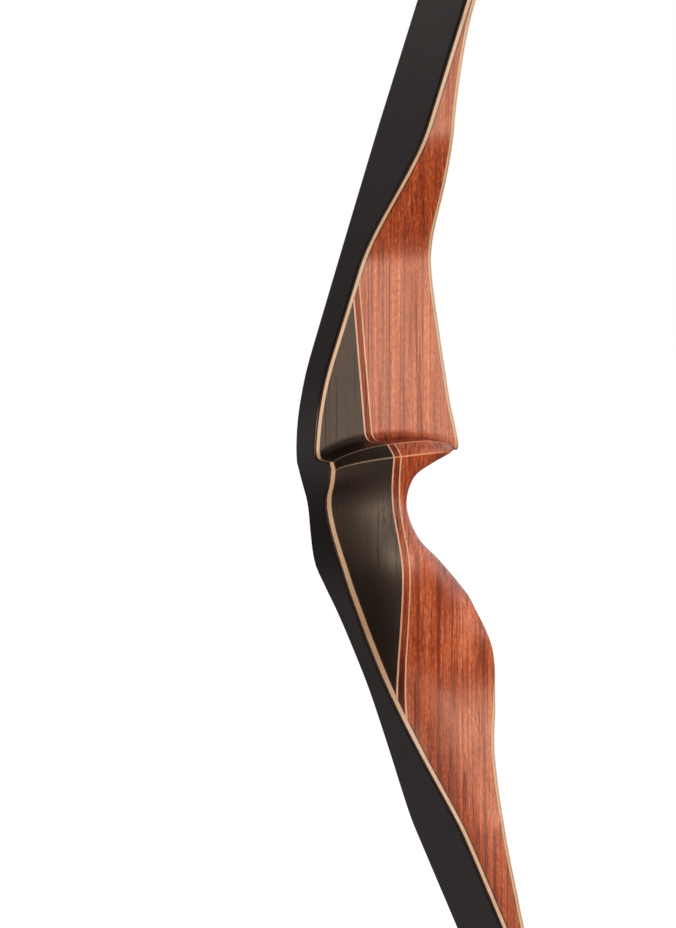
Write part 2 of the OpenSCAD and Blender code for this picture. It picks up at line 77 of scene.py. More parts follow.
CROWN_X, GRIP_BELLY_X, FEATHER_LEN, FEATHER = -3.0, 37.8, 28.0, 0.1
LIMB_Z, TURN_LEN, OVERLAY_FEATHER, OVERLAY_CROWN = 285.0, 60.0, 20.0, 0.45
GROOVE_HALF, TIP_ROUND, TIP_CURVE = 3.4, 6.0, 0.91
WARP_FROM, WARP_TO, FLARE_LEAST, SQUARE_FROM = 4.0, 62.0, 12.0, 6.0
FIT, EPS = 0.1, 0.001


def clamp(u):
    return max(0.0, min(1.0, u))


def ease(u):
    v = clamp(u)
    return v * v * (3 - 2 * v)


def spaced(a, b, count):
    return [a + (b - a) * i / count for i in range(count + 1)]


class Line:
    """A smooth curve through the points (position, value), flat past its ends."""

    def __init__(self, points):
        self.at, self.value = zip(*points)
        last = len(points) - 1
        self.grade = []
        for i in range(last + 1):
            a, b = max(0, i - 1), min(last, i + 1)
            self.grade.append((self.value[b] - self.value[a]) / (self.at[b] - self.at[a]))

    def __call__(self, s):
        if s <= self.at[0]:
            return self.value[0]
        if s >= self.at[-1]:
            return self.value[-1]
        i = bisect_right(self.at, s) - 1
        h = self.at[i + 1] - self.at[i]
        u = (s - self.at[i]) / h
        return ((2 * u**3 - 3 * u * u + 1) * self.value[i] + (u**3 - 2 * u * u + u) * h * self.grade[i]
                + (3 * u * u - 2 * u**3) * self.value[i + 1] + (u**3 - u * u) * h * self.grade[i + 1])


# the back and the crowned shelf
SLOPE = tan(LEAN)
ARC_Z = BACK_R * sin(LEAN)
ARC_X = BACK_R * (1 - cos(LEAN))


def back_x(z):
    d = abs(z - MID_Z)
    if d < ARC_Z:
        return -GRIP_DEPTH + BACK_R - sqrt(BACK_R**2 - d * d)
    return -GRIP_DEPTH + ARC_X + (d - ARC_Z) * SLOPE


def back_lean(z):
    d = abs(z - MID_Z)
    return asin(d / BACK_R) if d < ARC_Z else LEAN


def lift(s, x):
    """Rise of the point x of a station, which near the shelf follows the shelf's crown."""
    if x < CROWN_X:
        crown, share = -DROP_BACK * ((CROWN_X - x) / (GRIP_DEPTH + CROWN_X)) ** 3, 0.6
    else:
        crown, share = -DROP_BELLY * ((x - CROWN_X) / (GRIP_BELLY_X - CROWN_X)) ** 2.2, 0.33
    heights = [WARP_FROM, CREASE_Z, SHELF_Z, COVE_TOP, WARP_TO]
    return crown * float(np.interp(s, heights, [0, share, 1, 0.9, 0]))


def at(x, s):
    return (x, s + lift(s, x))


def back_pt(s, depth):
    z = s + lift(s, back_x(s))
    return (back_x(z) + depth / cos(back_lean(z)), z)


PLANE = [-VENEER_DEPTH - 2 * VENEER - STRIP, -VENEER_DEPTH - VENEER - STRIP, -VENEER_DEPTH - VENEER,
         -VENEER_DEPTH]
CORE_0 = -GRIP_DEPTH + ARC_X - ARC_Z * SLOPE + BACK_CORE / cos(LEAN)


def plane_pt(p, s):
    z = s + lift(s, p - VENEER_SLOPE * s)
    return (p - VENEER_SLOPE * z, z)


def meet_up(p):
    """Height at which a veneer's plane meets the back core above the grip."""
    return (p - CORE_0 + MID_Z * SLOPE) / (SLOPE + VENEER_SLOPE)


def meet_down(p):
    return -(p - CORE_0 - MID_Z * SLOPE) / (SLOPE - VENEER_SLOPE)


def run_out(p, s, slack=0.0):
    return s > meet_up(p) - slack or s < meet_down(p) + slack


def core_x(s):
    return back_pt(s, BACK_CORE)[0]


# the riser's widths and sections
belly_x = Line([(-RISER_DOWN, core_x(-RISER_DOWN) + FEATHER), (-235, 54.4), (-205, 48.2), (-165, 41.5),
                (-130, 42.1), (-104, 46.1), (-88, 47.6), (-76, 46.1), (-66, 44.2), (-57, 42.3), (-48, 38.4),
                (-28, 19.6), (-20, 10.1), (-12, 3.9), (-2, 0), (5, 0.8), (11, 4.5), (15.8, 10.5),
                (20.5, 22.8), (CREASE_Z - 0.5, 34.4), (SHELF_Z, GRIP_BELLY_X), (52, 33), (84, 28.4),
                (116, 25.1), (150, 26.3), (180, 26.8), (205, 30.7), (235, 38.3),
                (RISER_UP, core_x(RISER_UP) + FEATHER)])


def width_line(drop, *points):
    """Half widths up the riser, from the limb's full one and the slight drop where the riser starts."""
    return Line([(WIDEN_Z - WIDEN_RUN, LIMB_W / 2), (WIDEN_Z, LIMB_W / 2 - drop), *points])


body_line = width_line(
    WIDEN_DROP, (-124, 13.5), (-99, NECK_W / 2), (FEATHER_Z, 12.9), (-58, 18.8), (PALM_Z, PALM_W / 2),
    (0, THROAT_W / 2), (12, THROAT_W / 2 + 1), (CREASE_Z, SHELF_W + BEVEL_W))
body_back_line = width_line(
    WIDEN_DROP, (-122, 12), (NECK_Z, BACK_NECK_W / 2), (-68, BACK_NECK_W / 2), (PALM_Z, BACK_PALM_W / 2),
    (0, BACK_THROAT_W / 2), (9, BACK_THROAT_W / 2 + 1), (18, SHELF_BACK_W),
    (CREASE_Z, SHELF_BACK_W + BEVEL_BACK_W))
off_line = width_line(
    OFF_DROP, (-122, 14.6), (NECK_Z, NECK_W / 2 * OFF_SIDE), (-58, 19 * OFF_SIDE),
    (PALM_Z, PALM_W / 2 * OFF_SIDE), (0, THROAT_W / 2 * OFF_SIDE), (SHELF_Z, WINDOW_WALL - 0.5),
    (WINDOW_TOP, WINDOW_WALL + 0.5), (WINDOW_TOP + RUNOUT, LIMB_W / 2))
off_back_line = width_line(
    OFF_DROP, (-122, 13.8), (NECK_Z, BACK_NECK_W / 2 + 1.2), (-68, BACK_NECK_W / 2), (-50, 8.1), (-38, 9.8),
    (-27, BACK_PALM_W / 2 + 1), (-12, 9.6), (0, BACK_THROAT_W / 2), (9, BACK_THROAT_W / 2 + 1),
    (SHELF_Z, WINDOW_WALL - 4.5), (60, WINDOW_WALL - 2), (WINDOW_TOP, WINDOW_WALL),
    (WINDOW_TOP + RUNOUT, LIMB_W / 2))
crest_y = Line([(6, 0), (SHELF_Z, 8), (WINDOW_TOP, WINDOW_WALL / 2), (WINDOW_TOP + RUNOUT, 0)])


def belly_lean(s):
    return atan((belly_x(s + 1) - belly_x(s - 1)) / 2)


def window_w(s):
    return LIMB_W / 2 * ease((s - WINDOW_TOP) / RUNOUT)


def cut(s):
    """Share of the way from the body's side to the window's, round the cove above the shelf."""
    if s <= SHELF_Z:
        return 0.0
    if s >= COVE_TOP - EPS:
        return 1.0
    if s < SHELF_Z + SHELF_RUN:
        return (1 - COVE_R / SHELF_W) * (s - SHELF_Z) / SHELF_RUN
    a = acos(clamp(1 - (s - SHELF_Z - SHELF_RUN) / COVE_R))
    return 1 - COVE_R * (1 - sin(a)) / SHELF_W


def flare(x, s):
    length = max(FLARE_LEAST, PLANE[3] - VENEER_SLOPE * s - back_x(s))
    return sin(pi / 2 * clamp((x - back_x(s)) / length))


def body_side(x, s):
    bevel = clamp((s - CREASE_Z) / BEVEL_H)
    back = body_back_line(s) - BEVEL_BACK_W * bevel
    return back + (body_line(s) - BEVEL_W * bevel**BEVEL_CURVE - back) * flare(x, s)


def near_y(x, s):
    c = cut(s)
    return -(1 - c) * body_side(x, s) - c * window_w(s)


def far_y(x, s):
    back = off_back_line(s)
    return back + (off_line(s) - back) * flare(x, s)


def start_pt(p, s, on_core):
    return back_pt(s, BACK_CORE) if on_core else plane_pt(p, s)


CORNER = 60.0
MAIN_SWEEP = [0, 0.7, 1.5] + list(range(3, 91, 3))


def main_half(s, near):
    """The block's outline on one side, from the veneers to the middle of the belly."""
    start = start_pt(PLANE[3], s, run_out(PLANE[3], s))
    x0, x1, c = start[0], belly_x(s), crest_y(s)
    if near:
        k = cut(s)
        y0 = near_y(x0, s) if s < SHELF_Z else -body_side(x0, s)
    else:
        k = ease((s - SQUARE_FROM) / (SHELF_Z - SQUARE_FROM))
        y0 = far_y(x0, s)
    if s < 0:
        k = ease((ROUND_Z - s) / (ROUND_Z - FEATHER_Z))
    points = []
    for a in MAIN_SWEEP:
        ra = radians(a)
        rx, ry = x0 + (x1 - x0) * sin(ra), c + (y0 - c) * cos(ra)
        qx = x0 + (x1 - x0) * min(1, a / CORNER)
        side = far_y(qx, s) if not near else near_y(qx, s) if s < SHELF_Z else -window_w(s)
        qy = side + (c - side) * max(0, (a - CORNER) / (90 - CORNER))
        x, y = rx * (1 - k) + qx * k, ry * (1 - k) + qy * k
        points.append((x0, y, start[1]) if a == 0 else (x, y, s + lift(s, x)))
    return points


def stations():
    """Heights of the riser's rings, closer together at the grip, the shelf and the cove."""
    keys = [-RISER_DOWN, FEATHER_Z, CREASE_Z, SHELF_Z, SHELF_Z + SHELF_RUN, COVE_TOP, RISER_UP]
    keys += [meet(p) for p in PLANE for meet in (meet_up, meet_down)]
    fine = [SHELF_Z + SHELF_RUN + COVE_R * (1 - cos(radians(a))) for a in range(9, 90, 9)]
    fine += [edge + gap for edge in (CREASE_Z, SHELF_Z) for gap in (-0.6, -0.35)] + [CREASE_Z + 0.35]
    fine += list(np.arange(CREASE_Z + 0.8, SHELF_Z, 0.8)) + list(np.arange(8, CREASE_Z - 1, 1.2))
    fine += list(np.arange(-RISER_DOWN + 3, 8, 3)) + list(np.arange(COVE_TOP + 1.5, RISER_UP, 2.5))
    keys += [s for s in fine if min(abs(s - k) for k in keys) > 0.3]
    return sorted(set(keys))


STATIONS = stations()


# the limbs
class Limb:
    """The limb past the riser, by path length t and depth d under the back line."""

    stack = BACK_CORE + BELLY_CORE - 2 * CORE_TAPER + BELLY_GLASS
    clear = STRING_R + SERVING + FIT
    start = (back_x(MID_Z + LIMB_Z), LIMB_Z, LEAN)
    butt_r = BUTT / (LEAN_MAX - LEAN)
    mid = (BRACE - clear - stack - start[0] - butt_r * (cos(LEAN) - cos(LEAN_MAX))
           - BEND_R * (1 - cos(LEAN_MAX))) / sin(LEAN_MAX)
    contact = BUTT + mid + BEND_R * LEAN_MAX
    legs = [(BUTT, butt_r), (mid, 0), (BEND_R * LEAN_MAX, -BEND_R), (RECURVE_R * RECURVE_TURN, -RECURVE_R),
            (TIP, 0)]
    length = sum(leg[0] for leg in legs)
    nock = length - NOCK_END

    @classmethod
    def walk(cls, t):
        x, z, b = cls.start
        for i, (leg, r) in enumerate(cls.legs):
            step = t if i == len(cls.legs) - 1 else min(t, leg)
            if r == 0:
                x, z = x + step * sin(b), z + step * cos(b)
            else:
                turned = b + step / r
                x, z = x + r * (cos(b) - cos(turned)), z + r * (sin(turned) - sin(b))
                b = turned
            t -= step
            if t <= 0:
                break
        return x, z, b

    @classmethod
    def pt(cls, t, d):
        x, z, lean = cls.walk(t)
        b = lean * ease(t / TURN_LEN)
        k = d / cos(lean - b)
        return x + k * cos(b), z - k * sin(b)

    @classmethod
    def place(cls, t, d, y, up):
        """Where a point of the upper limb lies, or of the lower limb where up is -1."""
        x, z = cls.pt(t, d)
        return (x, y, MID_Z + up * z)

    @classmethod
    def half(cls, t):
        groove = NOCK_CUT * max(0, 1 - ((t - cls.nock) / GROOVE_HALF) ** 2)
        tip = sqrt(1 - (TIP_CURVE * clamp((t - cls.length + TIP_ROUND) / TIP_ROUND)) ** 2)
        return ((LIMB_W - NOCK_W) / 2 * (1 - clamp(t / cls.nock) ** 1.5) + NOCK_W / 2 - groove) * tip

    @classmethod
    def core_d(cls, t):
        return BACK_CORE - CORE_TAPER * clamp(t / cls.contact)

    @classmethod
    def belly_core_d(cls, t):
        return cls.core_d(t) + BELLY_CORE - CORE_TAPER * clamp(t / cls.contact)


# the limb's rings, closer together at the tip, in its grooves and round its end
OVERLAY_FROM = Limb.length - OVERLAY_LEN
LIMB_STATIONS = sorted(set(
    [OVERLAY_FROM * i / 80 for i in range(1, 81)] + list(np.arange(OVERLAY_FROM + 3, Limb.nock - 6, 3))
    + [Limb.nock + GROOVE_HALF * i / 5 for i in range(-7, 6)]
    + [Limb.nock + GROOVE_HALF + 1.2 * i for i in (1, 2)]
    + [Limb.length - TIP_ROUND * (1 - sin(asin(TIP_CURVE) * i / 12) / TIP_CURVE)
       for i in range(13)]))


# mesh making; an edge stays crisp where its faces turn by more than SHARP
SHARP = radians(33)


def new_object(name, data):
    thing = bpy.data.objects.new(name, data)
    scene.collection.objects.link(thing)
    return thing


def settle(piece, node):
    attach(piece, "root")
    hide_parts(node)


def loft(name, rings, material, slot, node, attributes=None, alongs=None):
    """A closed solid through rings of the same number of points, in order round the section."""
    m, last = len(rings[0]), len(rings) - 1
    verts = [p for ring in rings for p in ring]
    faces = [(k * m + i, k * m + (i + 1) % m, (k + 1) * m + (i + 1) % m, (k + 1) * m + i)
             for k in range(last) for i in range(m)]
    for k, order in ((0, 1), (last, -1)):
        verts.append(tuple(np.mean(rings[k], axis=0)))
        c = len(verts) - 1
        for i in range(m):
            a, b = k * m + i, k * m + (i + 1) % m
            faces.append((c, b, a) if order == 1 else (c, a, b))
    mesh = bpy.data.meshes.new(name)
    mesh.from_pydata([tuple(c * MM for c in v) for v in verts], [], faces)
    mesh.validate()
    for key, values in (attributes or {}).items():
        flat = [v for ring in values for v in ring]
        layer = mesh.attributes.new(key, "FLOAT", "POINT")
        layer.data.foreach_set("value", flat + [flat[0], flat[-1]])
    if alongs:
        uv = [(alongs[k] * MM * 2, rings[k][i][1] * MM * 2 + 0.5) for k in range(last + 1) for i in range(m)]
        uv = np.asarray(uv + [uv[0], uv[-1]], dtype=np.float32)
        corners = np.empty(len(mesh.loops), dtype=np.int32)
        mesh.loops.foreach_get("vertex_index", corners)
        mesh.uv_layers.new(name="along").data.foreach_set("uv", uv[corners].ravel())
    mesh.materials.append(material)
    mesh.shade_smooth()
    mesh.set_sharp_from_angle(angle=SHARP)
    settle(new_object(name, mesh), node)


def eased(pts, radius, side):
    """Points (x, y, z) from inner to outer boundary, with the outer corner rounded inwards."""
    outer = pts[-1]
    out = []
    for p in pts:
        gap = dist((p[0], p[2]), (outer[0], outer[2]))
        inset = radius - sqrt(max(0, radius**2 - (radius - gap) ** 2)) if gap < radius else 0
        out.append((p[0], p[1] - side * inset, p[2]))
    return out


# materials
def srgb(*colour):
    """A shader colour from red, green and blue values up to 255."""
    shares = [c / 255 for c in colour]
    return tuple(c / 12.92 if c <= 0.04045 else ((c + 0.055) / 1.055) ** 2.4 for c in shares) + (1.0,)


class Nodes:
    """Short helpers to place and join nodes in one tree. A colour is given as for srgb."""

    def __init__(self, tree):
        self.tree = tree

    def add(self, kind, inputs=None, **settings):
        """Place a node and give its outputs."""
        node = self.tree.nodes.new(kind)
        for key, value in settings.items():
            setattr(node, key, value)
        for key, value in (inputs or {}).items():
            self.join(value, node.inputs[key])
        return node.outputs

    def join(self, value, socket):
        if isinstance(value, bpy.types.NodeSocket):
            self.tree.links.new(value, socket)
        else:
            socket.default_value = srgb(*value) if socket.type == "RGBA" else value

    def calc(self, operation, a, b=0.0):
        return self.add("ShaderNodeMath", {0: a, 1: b}, operation=operation)[0]

    def plus(self, a, b):
        return self.calc("ADD", a, b)

    def minus(self, a, b):
        return self.calc("SUBTRACT", a, b)

    def times(self, a, b):
        return self.calc("MULTIPLY", a, b)

    def over(self, a, b):
        return self.calc("DIVIDE", a, b)

    def vector(self, operation, a, b=(0, 0, 0)):
        """A result of two vectors, or of a vector and the factor that scales it."""
        second = "Scale" if operation == "SCALE" else 1
        made = self.add("ShaderNodeVectorMath", {0: a, second: b}, operation=operation)
        return made["Value" if operation in ("LENGTH", "DISTANCE", "DOT_PRODUCT") else "Vector"]

    def ramp(self, value, low, high, to_low=0.0, to_high=1.0):
        inputs = {"Value": value, "From Min": low, "From Max": high, "To Min": to_low, "To Max": to_high}
        return self.add("ShaderNodeMapRange", inputs, interpolation_type="SMOOTHSTEP")[0]

    def mix(self, factor, a, b):
        return self.add("ShaderNodeMix", {0: factor, 6: a, 7: b}, data_type="RGBA")[2]

    def noise(self, vector, detail=2.0, rough=0.5):
        return self.add("ShaderNodeTexNoise", {"Vector": vector, "Scale": 1.0, "Detail": detail,
                                               "Roughness": rough})[0]

    def cloud(self, vector, scale, detail=2.0, rough=0.5):
        """Noise on a vector stretched by a scale along each axis."""
        scaled = self.add("ShaderNodeMapping", {"Vector": vector, "Scale": scale})[0]
        return self.noise(scaled, detail, rough)

    def place(self):
        return self.add("ShaderNodeTexCoord")["Object"]

    def along(self):
        return self.add("ShaderNodeUVMap", uv_map="along")[0]

    def rays(self):
        """Whether a ray comes from the camera, and whether it was reflected or passed through glass."""
        path = self.add("ShaderNodeLightPath")
        return path["Is Camera Ray"], self.calc("MAXIMUM", path["Is Glossy Ray"], path["Is Transmission Ray"])

    def group(self, group, **inputs):
        named = {key.replace("_", " "): value for key, value in inputs.items()}
        return self.add("ShaderNodeGroup", named, node_tree=group)


def new_group(name, inputs, outputs):
    """An empty shader group with the sockets on its inside; an input without a value is a vector."""
    tree = bpy.data.node_groups.new(name, "ShaderNodeTree")
    for title, value in inputs.items():
        kind = "NodeSocketVector" if value is None else "NodeSocketFloat"
        socket = tree.interface.new_socket(title, in_out="INPUT", socket_type=kind)
        if value is not None:
            socket.default_value = value
    for title in outputs:
        tree.interface.new_socket(title, in_out="OUTPUT", socket_type="NodeSocketFloat")
    return Nodes(tree), tree.nodes.new("NodeGroupInput").outputs, tree.nodes.new("NodeGroupOutput").inputs


def make_wood_grain():
    """Long fibres that lean a little from Z: broad bands, narrow streaks, a fine figure and short pores."""
    n, given, made = new_group(
        "wood grain", {"Vector": None, "Lean": 0.042, "Band width": 0.011, "Streak width": 0.0016,
                       "Streak length": 0.09, "Pore width": 0.0007, "Pore length": 0.006},
        ("Bands", "Streaks", "Fine", "Mottle", "Pores", "Across"))
    place = given["Vector"]
    x, y, z = n.add("ShaderNodeSeparateXYZ", {"Vector": place})
    wander = n.times(n.minus(n.cloud(place, (7, 7, 6), 1.0), 0.5), 0.003)
    x = n.plus(n.minus(x, n.times(z, given["Lean"])), wander)
    y = n.plus(y, wander)

    def along(width, length, beside=0.3):
        return n.add("ShaderNodeCombineXYZ", {"X": n.over(x, width), "Y": n.over(n.times(y, beside), width),
                                              "Z": n.over(z, length)})[0]

    pores = n.add("ShaderNodeTexVoronoi", {
        "Vector": along(given["Pore width"], given["Pore length"], 0.6), "Scale": 1.0})
    n.join(n.noise(along(given["Band width"], 0.2), 2.0, 0.45), made["Bands"])
    n.join(n.noise(along(given["Streak width"], given["Streak length"], 0.2), 2.0, 0.6), made["Streaks"])
    n.join(n.noise(along(0.0005, 0.06, 0.4), 2.0, 0.6), made["Fine"])
    n.join(n.noise(along(0.0008, 0.0026, 0.6), 2.0, 0.6), made["Mottle"])
    n.join(n.ramp(pores["Distance"], 0.12, 0.34, 1.0, 0.0), made["Pores"])
    n.join(x, made["Across"])
    return n.tree


def make_edge_mask(name, kept, title, solid):
    """A band along an edge from the distance kept on the mesh, solid up to a share of its width."""
    n, given, made = new_group(name, {"Width": 0.5}, (title,))
    away = n.add("ShaderNodeAttribute", attribute_type="GEOMETRY", attribute_name=kept)["Fac"]
    n.join(n.ramp(n.over(away, given["Width"]), solid, 1.0, 1.0, 0.0), made[title])
    return n.tree


def make_satin():
    """Small unevenness of a sprayed finish: a soft roughness change and a fine ripple."""
    n, given, made = new_group("satin finish", {"Vector": None, "Roughness": 0.4, "Spread": 0.1},
                               ("Roughness", "Ripple"))
    change = n.times(n.minus(n.cloud(given["Vector"], (38, 38, 22), 3.0), 0.5), given["Spread"])
    n.join(n.plus(given["Roughness"], change), made["Roughness"])
    n.join(n.cloud(given["Vector"], (900, 900, 700), 1.0), made["Ripple"])
    return n.tree


WOOD_GRAIN, SATIN = make_wood_grain(), make_satin()
GLUE_LINE = make_edge_mask("glue line", "depth", "Line", 0.5)
# The edge sheen mask carries a painted highlight along the shelf's edges, and the darker brown of the black
# facing's side.
EDGE_SHEEN = make_edge_mask("edge sheen", "edge", "Edge", 0.3)


class Material(Nodes):
    """A material, started with the constants of its shader."""

    def __init__(self, name, **constants):
        self.made = bpy.data.materials.new(name)
        self.made.use_nodes = True
        super().__init__(self.made.node_tree)
        self.shader = self.tree.nodes["Principled BSDF"]
        for key, value in constants.items():
            self.shader.inputs[key.replace("_", " ")].default_value = value

    def finish(self, colour, roughness, height, strength, distance=0.0001):
        """Join the colour, the roughness and the relief to the shader."""
        relief = self.add("ShaderNodeBump", {"Height": height, "Strength": strength, "Distance": distance})[0]
        for value, title in ((colour, "Base Color"), (roughness, "Roughness"), (relief, "Normal")):
            self.join(value, self.shader.inputs[title])
        return self.made


# how far the growth rings stand from square across the riser
GROWTH_TURN = radians(33)
# depths in the block, in millimetres, between which growth lines can be drawn
GROWTH_FROM, GROWTH_SPAN = -50, 120
WASH_FADE = 0.03
WARM = (1.0, 0.64, 0.48, 1.0)
# The third colour is a painted highlight, laid along the shelf's edges where they would catch the light.
GLUE_BROWN, CORE_GLUE, PAINTED_EDGE_HIGHLIGHT = (40, 16, 8), (60, 30, 16), (236, 170, 120)


def ramp_of(n, value, stops):
    """A colour ramp through (place, colour) stops."""
    made = n.add("ShaderNodeValToRGB", {"Fac": value})[0]
    elements = made.node.color_ramp.elements
    elements[0].position, elements[0].color = stops[0]
    elements[1].position, elements[1].color = stops[-1]
    for place, colour in stops[1:-1]:
        elements.new(place).color = colour
    return made


def growth_lines(n, across, lines):
    """Pale and dark lines at set depths in the block, each (place, half width, strength), in millimetres."""
    stops = [(0.0, 0.5)]
    for place, half, strength in lines:
        for offset, value in ((-half, 0.5), (0, 0.5 + strength / 2), (half, 0.5)):
            stops.append(((place + offset - GROWTH_FROM) / GROWTH_SPAN, value))
    stops.append((1.0, 0.5))
    share = n.over(n.minus(across, GROWTH_FROM * MM), GROWTH_SPAN * MM)
    return n.minus(ramp_of(n, share, [(place, (value, value, value, 1)) for place, value in stops]), 0.5)


def wood(name, tones, pore, roughness=0.4, level=0.5, tint=(1, 1, 1, 1), glue=None, bands=0.9,
         streaks=0.35, fine=0.45, mottle=0.35, sizes=None, shift=(0, 0, 0), turn=GROWTH_TURN,
         upper_lines=(), lower_lines=(), painted_light_and_shade=(), rubbed=(), lower_fade=(-0.02, -0.05), edge=None):
    """Tones run from the darkest streak to the palest band. The washes are painted light and painted shade
    laid over
    the growth: lighter where the grip should catch more light, darker on the tail near the back. Each is
    given as (place, half width, strength) in millimetres, the heights where it starts and ends, and its lean.
    A rubbed place is given in the same way, and is duller than the rest."""
    n = Material(name, Specular_IOR_Level=level, Specular_Tint=tint)
    place = n.place()
    moved = n.add("ShaderNodeMapping", {"Vector": place, "Location": shift, "Rotation": (0, 0, turn)})
    grain = n.group(WOOD_GRAIN, Vector=moved[0], **(sizes or {}))

    tone = n.minus(0.5, (bands + fine + mottle) / 2)
    for title, amount in (("Bands", bands), ("Fine", fine), ("Mottle", mottle)):
        tone = n.plus(tone, n.times(grain[title], amount))
    streak = n.ramp(grain["Streaks"], 0.52, 0.7)
    tone = n.minus(tone, n.times(streak, streaks))
    tone = n.plus(tone, n.ramp(grain["Streaks"], 0.42, 0.28, 0.0, streaks * 0.5))
    height = n.add("ShaderNodeSeparateXYZ", {"Vector": place})[2]
    for lines, low, high in ((upper_lines, 0.0, 0.04), (lower_lines, *lower_fade)):
        if lines:
            tone = n.plus(tone, n.times(growth_lines(n, grain["Across"], lines), n.ramp(height, low, high)))

    def shade(line, top, bottom, lean):
        leant = n.plus(grain["Across"], n.times(height, lean))
        span = n.times(n.ramp(height, top, top - WASH_FADE), n.ramp(height, bottom - WASH_FADE, bottom))
        return n.times(growth_lines(n, leant, [line]), span)

    # Each wash adds painted light or painted shade to the tone.
    for *line, top, bottom, lean in painted_light_and_shade:
        tone = n.plus(tone, shade(line, top, bottom, lean))
    colour = ramp_of(n, tone, [(share, srgb(*t)) for share, t in zip((0.05, 0.32, 0.5, 0.68, 0.95), tones)])
    colour = n.mix(n.times(grain["Pores"], 0.5), colour, pore)
    if glue:
        colour = n.mix(n.times(n.group(GLUE_LINE, Width=glue)["Line"], 0.85), colour, GLUE_BROWN)
    # Painted highlight: the edge colour is laid along the shelf's crease and top edge.
    if edge:
        colour = n.mix(n.times(n.group(EDGE_SHEEN, Width=0.55)["Edge"], 0.5), colour, edge)
    satin = n.group(SATIN, Vector=place, Roughness=roughness, Spread=0.12)
    uneven = n.plus(satin["Roughness"], n.times(grain["Pores"], 0.15))
    for *line, top, bottom, lean in rubbed:
        uneven = n.plus(uneven, shade(line, top, bottom, lean))
    relief = n.minus(n.times(satin["Ripple"], 0.25), n.times(grain["Pores"], 0.6))
    return n.finish(colour, n.plus(uneven, n.times(streak, 0.14)), relief, 0.25)


RED_SIZES = dict(Band_width=0.01, Streak_width=0.0012, Streak_length=0.12, Pore_width=0.0006,
                 Pore_length=0.0035)
# Its washes brighten the palm as painted light and darken the tail near the back as painted shade; its edge
# colour is a painted highlight along the shelf's crease and top edge.
red_wood = wood(
    "red hardwood", [(96, 28, 9), (126, 43, 15), (150, 60, 24), (171, 80, 42), (200, 112, 76)], (86, 28, 10),
    roughness=0.33, level=0.75, tint=WARM, glue=1.0, bands=0.7, streaks=0.5, fine=0.7, mottle=0.85,
    sizes=RED_SIZES, edge=PAINTED_EDGE_HIGHLIGHT,
    upper_lines=[(-10.3, 1.2, 0.5), (-7.3, 0.8, 0.2), (-4.8, 0.9, -0.2), (-1.8, 0.8, 0.2), (4.4, 1.4, -0.2),
                 (10, 0.9, 0.2), (13.2, 0.7, -0.2), (20, 1.8, -0.25)],
    lower_lines=[(11.2, 1.5, -0.9), (15.7, 1.3, 0.25), (21.7, 1.2, -1.1), (28.2, 0.8, -0.7), (31, 0.7, -0.6),
                 (33, 1.0, 0.4), (37.4, 1.4, 0.3), (42.7, 0.8, 0.5), (45, 1.0, -1.1), (48, 1.0, 0.3)],
    painted_light_and_shade=[(15, 10, 0.3, 0, -0.045, 0), (29, 15, 0.7, -0.04, -0.075, 0),
            (-27, 13, -0.2, -0.065, -0.3, 0.38)],
    rubbed=[(-27.5, 16, 0.75, -0.065, -0.3, 0.38)])
# Its edge colour is a painted highlight along the shelf's crease and top edge; a broad dark line makes the
# strip darker towards its lower end.
strip_wood = wood(
    "red hardwood strip", [(62, 10, 2), (104, 32, 10), (132, 50, 19), (154, 66, 31), (182, 95, 54)],
    (74, 24, 9), roughness=0.38, level=0.36, tint=WARM, fine=0.7, mottle=0.5, sizes=RED_SIZES,
    shift=(0, 0.3, 0), edge=PAINTED_EDGE_HIGHLIGHT, lower_lines=[(2.5, 9, -1.2)], lower_fade=(-0.066, -0.092))
# Its edge colour is a painted highlight along the shelf's crease and top edge.
dark_wood = wood(
    "dark hardwood", [(9, 5, 2), (15, 9, 4), (23, 14, 7), (32, 20, 11), (46, 31, 19)], (8, 4, 2),
    roughness=0.43, level=0.4, tint=(1.0, 0.78, 0.64, 1.0), glue=1.0, bands=0.6, streaks=0.2, fine=0.5,
    shift=(0.3, 0.1, 0.0), edge=(150, 128, 108),
    sizes=dict(Band_width=0.016, Streak_width=0.0013, Pore_width=0.0006))
tip_wood = wood(
    "tip hardwood", [(30, 20, 15), (42, 29, 22), (56, 40, 30), (66, 48, 37), (80, 58, 45)], (28, 19, 14),
    roughness=0.36, shift=(0.7, 0.2, 0.0), turn=0,
    sizes=dict(Lean=0.0, Band_width=0.006, Streak_width=0.0009, Pore_width=0.0005))
veneer_wood = wood(
    "maple veneer", [(152, 106, 82), (184, 134, 108), (209, 160, 132), (223, 177, 150), (234, 195, 170)],
    (164, 120, 94), level=0.2, bands=0.6, streaks=0.2, fine=0.3, shift=(0.5, 0.4, 0.2))


def lamination_maple(name, light, mid, dark):
    """Limb core: maple slats seen edge on, with fine lines that follow the limb."""
    n = Material(name, Specular_IOR_Level=0.35)
    along = n.along()
    cloud = n.cloud(along, (14, 60, 1), 3.0)
    fibres = n.cloud(along, (60, 1800, 1), 2.0)
    colour = n.mix(n.ramp(cloud, 0.3, 0.7), mid, light)
    colour = n.mix(n.ramp(fibres, 0.5, 0.75, 0.0, 0.5), colour, dark)
    colour = n.mix(n.times(n.group(GLUE_LINE, Width=0.34)["Line"], 0.8), colour, CORE_GLUE)
    satin = n.group(SATIN, Vector=n.place(), Roughness=0.42, Spread=0.1)
    return n.finish(colour, satin["Roughness"], satin["Ripple"], 0.15)


